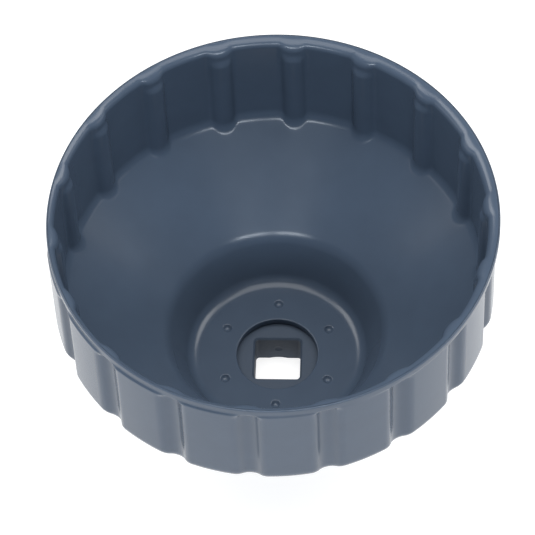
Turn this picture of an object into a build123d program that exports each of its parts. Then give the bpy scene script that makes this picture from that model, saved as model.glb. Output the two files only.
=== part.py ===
"""Cap-type oil filter wrench: a pressed fluted cup with a square-drive hub welded under its well.

Millimetres, +Z up, mouth upward. The origin is on the axis, on the flat lower face of the hub,
so the wrench stands on Z = 0. The flats of the drive square are parallel to X and Y.
"""

import os
from math import acos, atan2, cos, pi, radians, sin, sqrt, tan

from build123d import *

os.makedirs("parts", exist_ok=True)

# ---- driving dimensions -------------------------------------------------------------------
SHEET = 2.2                 # thickness of the pressed steel
FLUTES = 18                 # grips around the filter's own 18 flutes
RIB_RADIUS = 55.4           # crests of the ribs that grip the filter
PANEL_RADIUS = 57.4         # inside of the wide panels between the ribs
RIB_CREST_ARC = 4.0         # cross-section radius of a rib's crest, seen from the mouth
FLUTE_FOOT_BEND = 1.5       # bend between a rib and the panels on either side
FLUTE_PHASE = 5.8           # degrees from +X to the first rib
RIB_RUNOUT = 3.0            # mouth to where the ribs begin, inside; they slope in at 45 degrees
GROOVE_RUNOUT_STEP = 0.3    # depth of the grooves where they meet the lip, outside

LIP_RADIUS = 60.0           # trimmed outer edge of the mouth
LIP_SHIFT = (0.1, 0.3)      # the trimmed edge runs a little off the cup's axis
LIP_HEIGHT = 2.6            # height of the trimmed edge
LIP_LAP = 0.4               # how far the wall reaches up into it
LIP_BEND = 1.5              # radius on the inside of the mouth
LIP_EDGE_ROUND = 0.3        # outer edge of the mouth

WALL_BASE = 32.6            # mouth to the sharp corner of wall and cone, inside
WALL_BEND = 3.8             # inside radius between wall and cone
CONE_ANGLE = 38.0           # slope of the conical floor below the horizontal
WELL_TOP_RADIUS = 29.8      # where the cone breaks into the well
WELL_TOP_BEND = 8.5         # soft radius over that break
WELL_DEPTH = 67.8           # mouth to the well's floor
WELL_FLOOR_RADIUS = 24.2
WELL_FLOOR_BEND = 3.5
CENTRE_HOLE = 22.6          # diameter of the round hole in the well's floor

HUB_ACROSS_FLATS = 36.0
HUB_THICKNESS = 10.0
HUB_CORNER_ROUND = 0.8
HUB_EDGE_BREAK = 0.4        # around the upper face
HUB_NOSE_STEP = 0.6         # the turned nose is this much inside the flats at the lower face
SQUARE = 12.8               # half-inch square drive with clearance
SQUARE_CORNER = 1.0
SQUARE_LEAD_IN = 0.5
COUNTERSINK_RADIUS = 6.9    # conical lead-in on the lower face
SINK_OVERRUN = 0.4          # how far its cone runs in past the flats of the square
DETENT_RADIUS = 2.6         # shallow ball recess in each wall of the square
DETENT_DEPTH = 0.3

WELDS = 6
WELD_CIRCLE = 32.8          # diameter of the ring of projection welds
WELD_GAP = 0.4              # what is left of each projection between sheet and hub
NUGGET_RADIUS = 2.6
PIT_RADIUS = 1.7            # ball radius of the pit that each projection leaves inside
PIT_DEPTH = 0.9

HUB_TOP = HUB_THICKNESS
WELL_FLOOR = HUB_TOP + WELD_GAP + SHEET     # height of the well's floor, inside
MOUTH = WELL_FLOOR + WELL_DEPTH             # height of the mouth


def fluted_face(growth, z):
    """The fluted outline, grown outward by an even thickness, as a face at height z.

    Each flute is a crest arc, a small bend at either foot of it, and the panel up to the next.
    """
    crest_centre = Vector(RIB_RADIUS + RIB_CREST_ARC, 0)
    bend_radius = PANEL_RADIUS - FLUTE_FOOT_BEND
    reach = RIB_CREST_ARC + FLUTE_FOOT_BEND
    bend_angle = acos((crest_centre.X**2 + bend_radius**2 - reach**2) / (2 * crest_centre.X * bend_radius))
    bend_centre = Vector(bend_radius * cos(bend_angle), bend_radius * sin(bend_angle))
    flank = (bend_centre - crest_centre).normalized()
    radial = bend_centre.normalized()
    crest_end = crest_centre + flank * (RIB_CREST_ARC - growth)
    bend_middle = bend_centre + (radial - flank).normalized() * (FLUTE_FOOT_BEND + growth)
    panel_end = radial * (PANEL_RADIUS + growth)
    pitch = 2 * pi / FLUTES

    def place(point, angle, side=1):
        x, y = point.X, side * point.Y
        return Vector(x * cos(angle) - y * sin(angle), x * sin(angle) + y * cos(angle), z)

    edges = []
    for k in range(FLUTES):
        angle = radians(FLUTE_PHASE) + k * pitch
        crest = Vector(RIB_RADIUS + growth, 0)
        panel_middle = Vector(PANEL_RADIUS + growth, 0)
        edges.append(ThreePointArc(place(crest_end, angle, -1), place(crest, angle), place(crest_end, angle)))
        for side in (-1, 1):
            foot = [place(p, angle, side) for p in (crest_end, bend_middle, panel_end)]
            edges.append(ThreePointArc(*foot))
        edges.append(ThreePointArc(
            place(panel_end, angle),
            place(panel_middle, angle + pitch / 2),
            place(panel_end, angle + pitch, -1),
        ))
    return Face(Wire.combine(edges)[0])


def arc_between(before, corner, after, radius):
    """Tangent points and middle of the round that replaces a corner of a polyline."""
    a = (Vector(*before) - Vector(*corner)).normalized()
    b = (Vector(*after) - Vector(*corner)).normalized()
    half = acos(max(-1, min(1, a.dot(b)))) / 2
    run = radius / tan(half)
    centre = Vector(*corner) + (a + b).normalized() * (radius / sin(half))
    middle = centre - (a + b).normalized() * radius
    start = Vector(*corner) + a * run
    end = Vector(*corner) + b * run
    return (start.X, start.Y), (middle.X, middle.Y), (end.X, end.Y)


def cup_profile(growth):
    """Edges from the wall down to the axis, on the inside (growth 0) or the outside of the sheet."""
    slope = radians(CONE_ANGLE)
    wall_r = PANEL_RADIUS + growth
    # a line parallel to the cone, one sheet thickness below it
    cone_drop = growth / cos(slope)
    wall_corner = (wall_r, MOUTH - WALL_BASE + growth * tan(slope) - cone_drop)
    cone_z = lambda r: wall_corner[1] - (wall_r - r) * tan(slope)
    inner_top = MOUTH - WALL_BASE - (PANEL_RADIUS - WELL_TOP_RADIUS) * tan(slope)
    well = atan2(inner_top - WELL_FLOOR, WELL_TOP_RADIUS - WELL_FLOOR_RADIUS)
    # the well's wall, moved outward by the sheet thickness
    foot_r = WELL_FLOOR_RADIUS + growth / sin(well) - growth / tan(well)
    floor_z = WELL_FLOOR - growth
    # where the shifted cone meets the shifted well wall
    top_r = (cone_z(0) - floor_z + foot_r * tan(well)) / (tan(well) - tan(slope))
    top = (top_r, cone_z(top_r))
    foot = (foot_r, floor_z)
    start = (wall_r, MOUTH - WALL_BASE + 15)
    axis = (0, floor_z)
    w0, w1, w2 = arc_between(start, wall_corner, top, WALL_BEND + growth)
    t0, t1, t2 = arc_between(wall_corner, top, foot, WELL_TOP_BEND - growth)
    f0, f1, f2 = arc_between(top, foot, axis, WELL_FLOOR_BEND + growth)
    return [
        Line(start, w0), ThreePointArc(w0, w1, w2),
        Line(w2, t0), ThreePointArc(t0, t1, t2),
        Line(t2, f0), ThreePointArc(f0, f1, f2),
        Line(f2, axis),
    ]


def turned_body(growth, top):
    """The cup's envelope turned about Z, from its floor up to the height top."""
    edges = cup_profile(growth)
    rim = edges[0] @ 0
    axis_foot = edges[-1] @ 1
    edges += [Line(axis_foot, (0, top)), Line((0, top), (rim.X, top)), Line((rim.X, top), rim)]
    face = Plane.XZ * Face(Wire.combine(edges)[0])
    return revolve(face, Axis.Z)


def round_weld_places():
    """One place per projection weld, the first on +Y."""
    return PolarLocations(WELD_CIRCLE / 2, WELDS, start_angle=90)


def fluted_body(growth, top):
    """The turned body with the flutes in its wall."""
    low = -20
    flutes = extrude(fluted_face(growth, low), amount=top - low, dir=(0, 0, 1))
    return turned_body(growth, top) & flutes


def runout(wide, growth, z):
    """A cone of 45 degrees that fills the flutes in, down from the radius wide at height z."""
    narrow = RIB_RADIUS + growth - 0.5
    fall = wide - narrow
    return Pos(0, 0, z - fall / 2) * Cone(narrow, wide, fall)


def fluted_cup():
    """The pressed cup: outside less inside, the trimmed lip, the centre hole and the weld pits."""
    under_lip = MOUTH - LIP_HEIGHT + LIP_LAP
    outside = fluted_body(SHEET, under_lip)
    outside += runout(PANEL_RADIUS + SHEET - GROOVE_RUNOUT_STEP, SHEET, under_lip)
    outside += Pos(*LIP_SHIFT, MOUTH - LIP_HEIGHT / 2) * Cylinder(LIP_RADIUS, LIP_HEIGHT)
    rib_start = MOUTH - RIB_RUNOUT
    cavity = fluted_body(0, rib_start) + runout(PANEL_RADIUS, 0, rib_start)
    cavity += Pos(0, 0, rib_start + RIB_RUNOUT) * Cylinder(PANEL_RADIUS, 2 * RIB_RUNOUT)
    cup = outside - cavity
    at_mouth = cup.edges().filter_by(GeomType.CIRCLE).filter_by(lambda e: abs(e.center().Z - MOUTH) < 0.01)
    cup = fillet(at_mouth.filter_by(lambda e: e.radius < PANEL_RADIUS + 0.01), LIP_BEND)
    at_mouth = cup.edges().filter_by(GeomType.CIRCLE).filter_by(lambda e: abs(e.center().Z - MOUTH) < 0.01)
    cup = fillet(at_mouth.filter_by(lambda e: e.radius > LIP_RADIUS - 0.01), LIP_EDGE_ROUND)
    cup -= Pos(0, 0, WELL_FLOOR) * Cylinder(CENTRE_HOLE / 2, 4 * SHEET)
    pit_ball = Pos(0, 0, WELL_FLOOR - PIT_DEPTH + PIT_RADIUS) * Sphere(PIT_RADIUS)
    for place in round_weld_places():
        cup -= place * pit_ball
    return cup


def drive_hub():
    """The hexagonal hub, with the drive square broached through it."""
    hexagon = RegularPolygon(HUB_ACROSS_FLATS / 2, 6, major_radius=False, rotation=30)
    hub = extrude(fillet(hexagon.vertices(), HUB_CORNER_ROUND), HUB_THICKNESS)
    hub = chamfer(hub.faces().sort_by(Axis.Z)[-1].edges(), HUB_EDGE_BREAK)
    # the lower corners are turned off at 30 degrees, as on a nut
    corner_radius = HUB_ACROSS_FLATS / 2 / cos(radians(30))
    nose = HUB_ACROSS_FLATS / 2 - HUB_NOSE_STEP
    rise = (corner_radius + 1 - nose) * tan(radians(30))
    turned = Pos(0, 0, rise / 2) * Cone(nose, corner_radius + 1, rise)
    turned += Pos(0, 0, rise + (HUB_THICKNESS - rise) / 2) * Cylinder(corner_radius + 1, HUB_THICKNESS - rise)
    hub &= turned
    square = RectangleRounded(SQUARE, SQUARE, SQUARE_CORNER)
    hub -= extrude(square, HUB_THICKNESS)
    wide = SQUARE + 2 * SQUARE_LEAD_IN
    hub -= loft([
        Plane.XY.offset(HUB_TOP - SQUARE_LEAD_IN) * square,
        Plane.XY.offset(HUB_TOP) * RectangleRounded(wide, wide, SQUARE_CORNER + SQUARE_LEAD_IN),
    ])
    sink_depth = COUNTERSINK_RADIUS - SQUARE / 2 + SINK_OVERRUN
    hub -= Pos(0, 0, sink_depth / 2) * Cone(COUNTERSINK_RADIUS, COUNTERSINK_RADIUS - sink_depth, sink_depth)
    ball_reach = SQUARE / 2 + DETENT_DEPTH - DETENT_RADIUS
    for place in PolarLocations(ball_reach, 4):
        hub -= place * Pos(0, 0, HUB_THICKNESS / 2) * Rot(0, 0, 180) * Sphere(DETENT_RADIUS)
    return hub


def weld_nuggets():
    """What is left of the six projections: short discs that join the cup to the hub."""
    disc = Pos(0, 0, HUB_TOP + WELD_GAP / 2) * Cylinder(NUGGET_RADIUS, WELD_GAP)
    return Compound(children=[place * disc for place in round_weld_places()])


NODES = {
    "fluted_cup": fluted_cup,
    "drive_hub": drive_hub,
    "weld_nuggets": weld_nuggets,
}

for name, build in NODES.items():
    shape = build()
    shape.label = name
    print(name, len(shape.solids()), round(shape.volume), shape.is_valid, shape.bounding_box())
    export_step(shape, f"parts/{name}.step")
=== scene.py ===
"""Looks for the cap-type oil filter wrench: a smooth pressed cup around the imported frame,
a powder-coat finish on every piece, a pale floor and soft studio light."""

import math

import bpy
import numpy as np
from mathutils import Matrix, Vector


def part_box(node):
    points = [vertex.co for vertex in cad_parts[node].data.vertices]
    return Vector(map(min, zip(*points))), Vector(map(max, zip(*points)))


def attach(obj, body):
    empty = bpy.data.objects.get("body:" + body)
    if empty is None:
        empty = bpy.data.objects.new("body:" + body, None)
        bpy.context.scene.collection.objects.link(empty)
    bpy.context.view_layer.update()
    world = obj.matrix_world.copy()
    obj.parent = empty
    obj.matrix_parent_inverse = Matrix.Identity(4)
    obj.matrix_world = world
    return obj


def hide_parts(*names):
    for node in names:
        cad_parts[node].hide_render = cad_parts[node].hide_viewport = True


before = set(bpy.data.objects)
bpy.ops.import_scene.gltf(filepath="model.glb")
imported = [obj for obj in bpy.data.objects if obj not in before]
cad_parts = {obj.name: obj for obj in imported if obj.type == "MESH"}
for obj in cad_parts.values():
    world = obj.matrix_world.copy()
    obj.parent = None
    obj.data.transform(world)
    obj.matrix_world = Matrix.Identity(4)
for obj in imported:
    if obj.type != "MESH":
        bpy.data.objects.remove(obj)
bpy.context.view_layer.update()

MM = 0.001

# ---- the cup in millimetres --------------------------------------------------------------------
# Most of these are the CAD part's driving dimensions. The flare of the mouth, the run-outs, the
# grooves and some of the bends are fuller here than in the CAD part.
SHEET = 2.2
FLUTES = 18
RIB_RADIUS = 55.4
PANEL_RADIUS = 57.4
RIB_CREST_ARC = 4.0
FLUTE_FOOT_BEND = 1.5
FLUTE_PHASE = 5.8           # degrees from +X to the first rib
GROOVE_CREST_ARC = 3.4      # outside, behind each rib, the sheet bends more gently
GROOVE_FOOT_BEND = 3.0
RIB_START = 0.6             # share of a rib that already stands in the flare of the mouth
RIB_RUNOUT = (3.4, 6.5)     # depths below the mouth between which the rest of it rises
GROOVE_START = 0.3
GROOVE_RUNOUT = (2.4, 4.6)  # the same for the grooves, outside
LIP_RADIUS = 60.0
LIP_SHIFT = (0.6, 0.7)      # how far the trimmed edge's own centre is off the cup's axis
LIP_HEIGHT = 2.6
LIP_FLARE = 3.4             # reach of the whole flare, of which the trimmed edge leaves a part
LIP_FLARE_EASE = 1.8        # above 1, the flare is flatter near the edge and tighter inside
LIP_EDGE_ROUND = 0.4
LIP_STEP = 0.9              # height over which the trimmed edge blends into the wall
WALL_BASE = 32.6
WALL_BEND = 4.6
CONE_ANGLE = 38.0
WELL_TOP_RADIUS = 29.8
WELL_TOP_BEND = 8.5
WELL_DEPTH = 67.8
WELL_FLOOR_RADIUS = 24.2
WELL_FLOOR_BEND = 4.0
CENTRE_HOLE = 22.6
HOLE_EDGE_ROUND = 0.35
WELDS = 6
WELD_CIRCLE = 32.8
PIT_RADIUS = 1.25
PIT_DEPTH = 0.8
PIT_FULLNESS = 0.8          # below 1, a weld pit has a flatter bottom than a paraboloid

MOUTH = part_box("fluted_cup")[1][2] / MM
WELL_FLOOR = MOUTH - WELL_DEPTH

# ---- how finely the cup's mesh follows its shape -----------------------------------------------
FLUTE_COLUMNS = 22          # from a rib's crest to the middle of a panel
EDGE_RINGS = 7              # around a quarter of each small rounded edge
FLARE_RINGS = 19
RUNOUT_RINGS = 11
GROOVE_RUNOUT_RINGS = 10
LIP_STEP_RINGS = 9
LIP_SIDE_RINGS = 2
WALL_RINGS = 20
WALL_BEND_RINGS = 12
CONE_RINGS = 16
WELL_TOP_BEND_RINGS = 14
WELL_WALL_RINGS = 6
WELL_FLOOR_BEND_RINGS = 10
FLOOR_RINGS_INSIDE = 44     # close enough together to shape the weld pits
FLOOR_RINGS_BELOW = 10
CURVE_SAMPLES = 600
OUTLINE_SAMPLES = 4000

# ---- the camera --------------------------------------------------------------------------------
VIEW_AZIMUTH = 4.2          # degrees round from the front, which looks along +Y
VIEW_ELEVATION = 56.88
VIEW_ROLL = -2.94
VIEW_DISTANCE = 960.0       # mm, from the middle of the mouth
VIEW_RIGHT = -0.8           # mm, camera offset in its own picture plane
VIEW_UP = -12.9
FOCAL_LENGTH = 244.9        # mm on a 36 mm sensor

# ---- floor and light ---------------------------------------------------------------------------
FLOOR_HALF = 6.0            # metres
FLOOR_GREY = 0.4
FLOOR_GLOW = 0.76           # its own light, which keeps the floor white around the shadow
COOL_WHITE = (0.86, 0.93, 1.0)
WHITE = (1.0, 1.0, 1.0)
SKY_STRENGTH = 0.22
LIGHTS = (
    # name, azimuth and elevation in degrees, distance and size in metres, power in watts, colour
    ("front_left", -13, 36, 1.6, (0.6, 0.2), 7.5, COOL_WHITE),
    ("front_right", 21, 36, 1.6, (0.6, 0.2), 7.5, COOL_WHITE),
    ("left", -85, 20, 1.8, (0.9, 0.6), 2.5, WHITE),
    ("right", 90, 20, 1.8, (0.9, 0.6), 2.5, WHITE),
    ("top", 0, 88, 2.0, (1.5, 1.5), 25, WHITE),
    ("back_left", -118, 50, 1.8, (0.9, 0.9), 15, WHITE),
    ("back_right", 118, 50, 1.8, (0.9, 0.9), 15, WHITE),
)

# ---- paint -------------------------------------------------------------------------------------
PAINT = (0.050, 0.071, 0.105)
SHADED_HUB_PAINT = [c * 0.85 for c in PAINT]       # painted shade: a darker copy of the cup's paint for the hub, which lies in shade under the well
BARE_WELD = (0.20, 0.19, 0.18)
MOTTLE_SCALE = 140.0
MOTTLE_DETAIL = 4.0
MOTTLE_COLOUR = 0.07        # share by which the colour varies to each side
MOTTLE_ROUGHNESS = 0.03     # the same for the roughness, as an amount
GRAIN_DETAIL = 2.0
SHEEN_LEVEL = 0.32
MIX_LOW, MIX_HIGH, MIX_RESULT = 6, 7, 2     # the colour sockets of a Mix node


# ---- the cup's surfaces ------------------------------------------------------------------------
def wall_radius(turn, growth):
    """Radius of the fluted outline at angles turn from a rib's crest. Growth runs from 0 for the
    inner face, with its ribs, to SHEET for the outer face, with its grooves."""
    share = growth / SHEET
    crest_arc = RIB_CREST_ARC + (GROOVE_CREST_ARC - RIB_CREST_ARC) * share
    bend_arc = FLUTE_FOOT_BEND + (GROOVE_FOOT_BEND - FLUTE_FOOT_BEND) * share
    crest_x = RIB_RADIUS + growth + crest_arc
    bend_x = PANEL_RADIUS + growth - bend_arc
    reach = crest_arc + bend_arc
    at = math.acos((crest_x ** 2 + bend_x ** 2 - reach ** 2) / (2 * crest_x * bend_x))
    flank_x = (bend_x * math.cos(at) - crest_x) / reach
    flank_y = bend_x * math.sin(at) / reach
    crest_end = math.atan2(flank_y * crest_arc, crest_x + flank_x * crest_arc)
    turn = np.abs(turn)
    panel = np.full_like(turn, PANEL_RADIUS + growth)
    inside = np.maximum(crest_arc ** 2 - (crest_x * np.sin(turn)) ** 2, 0)
    crest = crest_x * np.cos(turn) - np.sqrt(inside)
    past = np.maximum(bend_arc ** 2 - (bend_x * np.sin(turn - at)) ** 2, 0)
    bend = bend_x * np.cos(turn - at) + np.sqrt(past)
    return np.where(turn < crest_end, crest, np.where(turn < at, bend, panel))


def flute_turns():
    """Angles from a rib's crest to the middle of the panel, evenly spaced along the outline."""
    fine = np.linspace(0, math.pi / FLUTES, OUTLINE_SAMPLES)
    radius = wall_radius(fine, 0.0)
    x, y = radius * np.cos(fine), radius * np.sin(fine)
    run = np.concatenate([[0], np.cumsum(np.hypot(np.diff(x), np.diff(y)))])
    return np.interp(np.linspace(0, run[-1], FLUTE_COLUMNS + 1), run, fine)


def round_corner(before, corner, after, radius, steps):
    """Points along the arc that rounds a corner of a path of (r, z) points.
    The three points may be arrays, one entry per column."""
    before, corner, after = (np.stack(np.broadcast_arrays(*p), -1) for p in (before, corner, after))
    a = before - corner
    b = after - corner
    a /= np.linalg.norm(a, axis=-1, keepdims=True)
    b /= np.linalg.norm(b, axis=-1, keepdims=True)
    half = np.arccos(np.clip((a * b).sum(-1, keepdims=True), -1, 1)) / 2
    middle = (a + b) / np.linalg.norm(a + b, axis=-1, keepdims=True)
    centre = corner + middle * radius / np.sin(half)
    start = corner + a * radius / np.tan(half) - centre
    end = corner + b * radius / np.tan(half) - centre
    sweep = math.pi - 2 * half
    points = []
    for t in np.linspace(0, 1, steps):
        p = (np.sin((1 - t) * sweep) * start + np.sin(t * sweep) * end) / np.sin(sweep)
        points.append(centre + p)
    return [(p[..., 0], p[..., 1]) for p in points]


def straight(start, end, steps):
    """Points between two ends, without the ends themselves."""
    return [
        (start[0] + (end[0] - start[0]) * t, start[1] + (end[1] - start[1]) * t)
        for t in np.linspace(0, 1, steps + 2)[1:-1]
    ]


def skin(turn, growth, floor_steps):
    """Rings from below the flare down the wall, cone and well to the hole's edge."""
    slope = math.tan(math.radians(CONE_ANGLE))
    drop = growth / math.cos(math.radians(CONE_ANGLE))
    wall = wall_radius(turn, growth)

    def cone(r):
        return MOUTH - WALL_BASE - (PANEL_RADIUS - r) * slope - drop

    well = math.atan2(
        WELL_DEPTH - WALL_BASE - (PANEL_RADIUS - WELL_TOP_RADIUS) * slope,
        WELL_TOP_RADIUS - WELL_FLOOR_RADIUS)
    floor = WELL_FLOOR - growth
    foot_r = WELL_FLOOR_RADIUS + growth / math.sin(well) - growth / math.tan(well)
    top_r = (cone(0) - floor + foot_r * math.tan(well)) / (math.tan(well) - slope)
    ones = np.ones_like(turn)
    corner = (wall, cone(wall))
    above = (wall, MOUTH * ones)
    top = (top_r * ones, cone(top_r) * ones)
    foot = (foot_r * ones, floor * ones)
    hole = ((CENTRE_HOLE / 2 + HOLE_EDGE_ROUND) * ones, floor * ones)
    wall_bend = round_corner(above, corner, top, WALL_BEND, WALL_BEND_RINGS)
    top_bend = round_corner(corner, top, foot, WELL_TOP_BEND - growth, WELL_TOP_BEND_RINGS)
    foot_bend = round_corner(top, foot, hole, WELL_FLOOR_BEND + growth, WELL_FLOOR_BEND_RINGS)
    return (
        wall_bend
        + straight(wall_bend[-1], top_bend[0], CONE_RINGS) + top_bend
        + straight(top_bend[-1], foot_bend[0], WELL_WALL_RINGS) + foot_bend
        + straight(foot_bend[-1], hole, floor_steps) + [hole]
    )


def ease(t):
    """From 0 to 1 with a level start and end."""
    return t * t * (3 - 2 * t)


def part_fluted(turn, growth, share):
    """The wall's radius where the flutes have come out of the round only in part."""
    round_wall = PANEL_RADIUS + growth
    return round_wall + (wall_radius(turn, growth) - round_wall) * share


def wall_ring(turn, growth, depth, start, runout):
    """A ring of the wall where the flutes rise, between the two depths of a run-out."""
    along = min(max((depth - runout[0]) / (runout[1] - runout[0]), 0.0), 1.0)
    share = start + (1 - start) * ease(along)
    return part_fluted(turn, growth, share), (MOUTH - depth) * np.ones_like(turn)


def trimmed_edge(angle):
    """Distance from the cup's axis to the trimmed edge, whose own centre is a little off it."""
    along = LIP_SHIFT[0] * np.cos(angle) + LIP_SHIFT[1] * np.sin(angle)
    across = LIP_SHIFT[1] * np.cos(angle) - LIP_SHIFT[0] * np.sin(angle)
    return along + np.sqrt(LIP_RADIUS ** 2 - across ** 2)


def flare_curve():
    """How far the whole flare has run in and fallen, as shares of its reach, along its length."""
    along = np.linspace(0, 1, CURVE_SAMPLES)
    slope = math.pi / 2 * along ** LIP_FLARE_EASE
    run = np.concatenate([[0], np.cumsum(np.cos(slope[1:]))])
    fall = np.concatenate([[0], np.cumsum(np.sin(slope[1:]))])
    return along, run / run[-1], fall / run[-1]


def flare_rings(turn, lip):
    """The part of the mouth's flare that the trimmed edge leaves, from that edge to the wall."""
    along, run, fall = flare_curve()
    wall = part_fluted(turn, 0.0, RIB_START)
    reach = PANEL_RADIUS + LIP_FLARE - wall
    left = lip - LIP_EDGE_ROUND - wall
    first = np.interp(1 - left / reach, run, along)
    fallen = np.interp(first, along, fall)
    rings = []
    for t in np.linspace(0, 1, FLARE_RINGS):
        at = first + (1 - first) * t
        r = wall + reach * (1 - np.interp(at, along, run))
        rings.append((r, MOUTH - reach * (np.interp(at, along, fall) - fallen)))
    return rings


def inside_rings(turn, lip):
    """From the lip's rounded edge over the flare and down the inside to the hole's edge."""
    ones = np.ones_like(turn)
    rings = []
    for a in np.linspace(0, math.pi / 2, EDGE_RINGS):
        r = lip - LIP_EDGE_ROUND * (1 - math.cos(a))
        z = MOUTH - LIP_EDGE_ROUND * (1 - math.sin(a))
        rings.append((r, z * ones))
    flare = flare_rings(turn, lip)
    rings += straight(rings[-1], flare[0], 1) + flare
    for depth in np.linspace(*RIB_RUNOUT, RUNOUT_RINGS)[1:]:
        rings.append(wall_ring(turn, 0.0, depth, RIB_START, RIB_RUNOUT))
    inner = skin(turn, 0.0, FLOOR_RINGS_INSIDE)
    return rings + straight(rings[-1], inner[0], WALL_RINGS) + inner


def bore_rings(ones):
    """The centre hole's rounded edges, from just inside the well's floor to just below it."""
    bore = CENTRE_HOLE / 2
    below = WELL_FLOOR - SHEET
    quarter = np.linspace(0, math.pi / 2, EDGE_RINGS)
    upper = [(a, WELL_FLOOR, -1) for a in quarter[1:]]
    lower = [(a, below, 1) for a in quarter[::-1]]
    rings = []
    for a, level, side in upper + lower:
        r = bore + HOLE_EDGE_ROUND * (1 - math.sin(a))
        z = level + side * HOLE_EDGE_ROUND * (1 - math.cos(a))
        rings.append((r * ones, z * ones))
    return rings


def outside_rings(turn, lip):
    """From below the hole up the outside to the underside of the lip."""
    ones = np.ones_like(turn)
    flute_end = GROOVE_RUNOUT[1]
    step_foot = LIP_HEIGHT + LIP_STEP / 2
    rings = skin(turn, SHEET, FLOOR_RINGS_BELOW)[-2::-1]
    groove_top = wall_ring(turn, SHEET, flute_end, GROOVE_START, GROOVE_RUNOUT)
    rings += straight(rings[-1], groove_top, WALL_RINGS)
    for depth in np.linspace(flute_end, step_foot, GROOVE_RUNOUT_RINGS):
        rings.append(wall_ring(turn, SHEET, depth, GROOVE_START, GROOVE_RUNOUT))
    for t in np.linspace(0, 1, LIP_STEP_RINGS)[1:]:
        depth = step_foot - LIP_STEP * t
        wall = wall_ring(turn, SHEET, depth, GROOVE_START, GROOVE_RUNOUT)[0]
        rings.append((wall + (lip - wall) * ease(t), (MOUTH - depth) * ones))
    return rings


def cup_rings(turn, angle):
    """Every ring of the cup as (r, z), from the lip's edge down the inside and back up the outside."""
    lip = trimmed_edge(angle)
    rings = inside_rings(turn, lip) + bore_rings(np.ones_like(turn)) + outside_rings(turn, lip)
    return rings + straight(rings[-1], rings[0], LIP_SIDE_RINGS)


def pit_depth(x, y):
    """How far the weld pits push the well's floor down at a point."""
    depth = np.zeros_like(x)
    for k in range(WELDS):
        a = math.pi / 2 + k * 2 * math.pi / WELDS
        away = np.hypot(x - WELD_CIRCLE / 2 * math.cos(a), y - WELD_CIRCLE / 2 * math.sin(a))
        bowl = np.clip(1 - (away / PIT_RADIUS) ** 2, 0, 1)
        depth += PIT_DEPTH * bowl ** PIT_FULLNESS
    return depth


def mesh_object(name, vertices, faces, material):
    mesh = bpy.data.meshes.new(name)
    mesh.from_pydata([tuple(v) for v in vertices], [], faces)
    mesh.validate()
    mesh.update()
    mesh.polygons.foreach_set("use_smooth", [True] * len(mesh.polygons))
    mesh.materials.append(material)
    piece = bpy.data.objects.new(name, mesh)
    bpy.context.scene.collection.objects.link(piece)
    return piece


def build_cup(material):
    """A ring of columns around the axis for every point of the cup's profile, joined into one skin.
    Its faces are wound towards the inside of the sheet."""
    half = flute_turns()
    one_flute = np.sort(np.concatenate([half, -half[-2:0:-1]]))
    turns = np.tile(one_flute, FLUTES)
    crests = np.repeat(np.arange(FLUTES) * 2 * math.pi / FLUTES, len(one_flute))
    angles = math.radians(FLUTE_PHASE) + turns + crests
    vertices = []
    for r, z in cup_rings(turns, angles):
        x, y = r * np.cos(angles), r * np.sin(angles)
        on_floor = np.isclose(z, WELL_FLOOR, rtol=0, atol=1e-6) & (r < WELL_FLOOR_RADIUS)
        z = z - pit_depth(x, y) * on_floor
        vertices.append(np.stack([x, y, z], 1) * MM)
    ring_count = len(vertices)
    columns = len(turns)
    faces = []
    for i in range(ring_count):
        here, below = i * columns, (i + 1) % ring_count * columns
        for j in range(columns):
            k = (j + 1) % columns
            faces.append((here + j, below + j, below + k, here + k))
    return mesh_object("pressed_cup", np.concatenate(vertices), faces, material)


# ---- materials ---------------------------------------------------------------------------------
def node_tree(name):
    material = bpy.data.materials.new(name)
    material.use_nodes = True
    tree = material.node_tree
    return material, tree, tree.nodes["Principled BSDF"]


def noise(tree, place, scale, detail):
    texture = tree.nodes.new("ShaderNodeTexNoise")
    texture.inputs["Scale"].default_value = scale
    texture.inputs["Detail"].default_value = detail
    tree.links.new(place.outputs["Object"], texture.inputs["Vector"])
    return texture


def powder_coat(name, colour, roughness, grain, grain_size):
    """Painted steel: an even colour with a faint mottle, and a fine orange-peel texture.
    The depth of the grain and its size are in millimetres."""
    material, tree, shader = node_tree(name)
    place = tree.nodes.new("ShaderNodeTexCoord")
    mottle = noise(tree, place, MOTTLE_SCALE, MOTTLE_DETAIL)
    tint = tree.nodes.new("ShaderNodeMix")
    tint.data_type = "RGBA"
    tint.inputs[MIX_LOW].default_value = (*[c * (1 - MOTTLE_COLOUR) for c in colour], 1)
    tint.inputs[MIX_HIGH].default_value = (*[c * (1 + MOTTLE_COLOUR) for c in colour], 1)
    tree.links.new(mottle.outputs["Fac"], tint.inputs["Factor"])
    tree.links.new(tint.outputs[MIX_RESULT], shader.inputs["Base Color"])
    spread = tree.nodes.new("ShaderNodeMapRange")
    spread.inputs["To Min"].default_value = roughness - MOTTLE_ROUGHNESS
    spread.inputs["To Max"].default_value = roughness + MOTTLE_ROUGHNESS
    tree.links.new(mottle.outputs["Fac"], spread.inputs["Value"])
    tree.links.new(spread.outputs["Result"], shader.inputs["Roughness"])
    peel = noise(tree, place, 1 / (grain_size * MM), GRAIN_DETAIL)
    bump = tree.nodes.new("ShaderNodeBump")
    bump.inputs["Strength"].default_value = 1.0
    bump.inputs["Distance"].default_value = grain * MM
    tree.links.new(peel.outputs["Fac"], bump.inputs["Height"])
    tree.links.new(bump.outputs["Normal"], shader.inputs["Normal"])
    shader.inputs["Specular IOR Level"].default_value = SHEEN_LEVEL
    return material


cup_paint = powder_coat("painted_cup", PAINT, roughness=0.22, grain=0.006, grain_size=0.7)
# The hub's paint is the cup's paint darkened, as painted shade.
shaded_hub_paint = powder_coat("painted_hub", SHADED_HUB_PAINT, roughness=0.6, grain=0.08, grain_size=1.2)
weld_metal = powder_coat("weld_steel", BARE_WELD, roughness=0.45, grain=0.03, grain_size=0.6)

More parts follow.
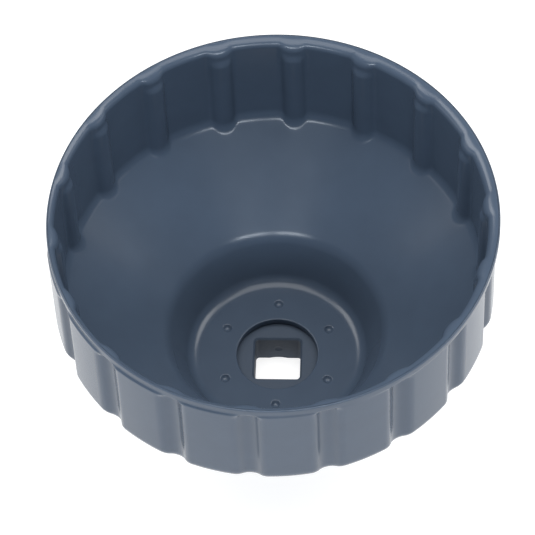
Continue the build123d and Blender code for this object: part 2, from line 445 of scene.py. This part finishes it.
# ---- pieces ------------------------------------------------------------------------------------
cup = build_cup(cup_paint)
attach(cup, "root")
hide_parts("fluted_cup")

for node, material in (("drive_hub", shaded_hub_paint), ("weld_nuggets", weld_metal)):
    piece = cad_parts[node]
    for slot in piece.material_slots:
        slot.material = material


# ---- floor, light and camera -------------------------------------------------------------------
def add_floor():
    mesh = bpy.data.meshes.new("floor")
    corners = [(x * FLOOR_HALF, y * FLOOR_HALF, 0) for x, y in ((-1, -1), (1, -1), (1, 1), (-1, 1))]
    mesh.from_pydata(corners, [], [(0, 1, 2, 3)])
    floor = bpy.data.objects.new("floor", mesh)
    bpy.context.scene.collection.objects.link(floor)
    material, tree, shader = node_tree("pale_floor")
    shader.inputs["Base Color"].default_value = (FLOOR_GREY, FLOOR_GREY, FLOOR_GREY, 1)
    shader.inputs["Roughness"].default_value = 0.9
    shader.inputs["Specular IOR Level"].default_value = 0.0
    shader.inputs["Emission Color"].default_value = (*WHITE, 1)
    shader.inputs["Emission Strength"].default_value = FLOOR_GLOW
    mesh.materials.append(material)


def add_soft_box(name, azimuth, elevation, distance, size, power, colour):
    """An area light aimed at the wrench. Azimuth 0 is in front, 90 on the right."""
    data = bpy.data.lights.new(name, "AREA")
    data.shape = "RECTANGLE"
    data.size, data.size_y = size
    data.energy = power
    data.color = colour
    light = bpy.data.objects.new(name, data)
    a, e = math.radians(azimuth), math.radians(elevation)
    aim = Vector((0, 0, MOUTH / 2 * MM))
    away = Vector((math.sin(a) * math.cos(e), -math.cos(a) * math.cos(e), math.sin(e)))
    light.location = aim + away * distance
    light.rotation_mode = "QUATERNION"
    light.rotation_quaternion = (-away).to_track_quat("-Z", "Y")
    bpy.context.scene.collection.objects.link(light)


def add_sky():
    world = bpy.data.worlds.new("studio")
    world.use_nodes = True
    background = world.node_tree.nodes["Background"]
    background.inputs["Color"].default_value = (*WHITE, 1)
    background.inputs["Strength"].default_value = SKY_STRENGTH
    bpy.context.scene.world = world


def add_camera():
    """The camera looks down into the mouth, shifted and rolled in its own picture plane."""
    data = bpy.data.cameras.new("camera")
    data.sensor_width = 36.0
    data.lens = FOCAL_LENGTH
    data.clip_start, data.clip_end = 0.05, 20.0
    camera = bpy.data.objects.new("camera", data)
    e, roll, a = (math.radians(v) for v in (VIEW_ELEVATION, VIEW_ROLL, VIEW_AZIMUTH))
    back = Vector((0, -math.cos(e), math.sin(e)))
    level = Vector((1, 0, 0))
    rise = back.cross(level)
    right = level * math.cos(roll) + rise * math.sin(roll)
    up = -level * math.sin(roll) + rise * math.cos(roll)
    place = back * VIEW_DISTANCE + right * VIEW_RIGHT + up * VIEW_UP
    turn = Matrix.Rotation(a, 3, "Z")
    axes = Matrix([turn @ v for v in (right, up, back)]).transposed()
    camera.matrix_world = Matrix.Translation((turn @ place + Vector((0, 0, MOUTH))) * MM) @ axes.to_4x4()
    bpy.context.scene.collection.objects.link(camera)
    bpy.context.scene.camera = camera


add_floor()
for light_row in LIGHTS:
    add_soft_box(*light_row)
add_sky()
add_camera()
bpy.context.scene.view_settings.view_transform = "Standard"
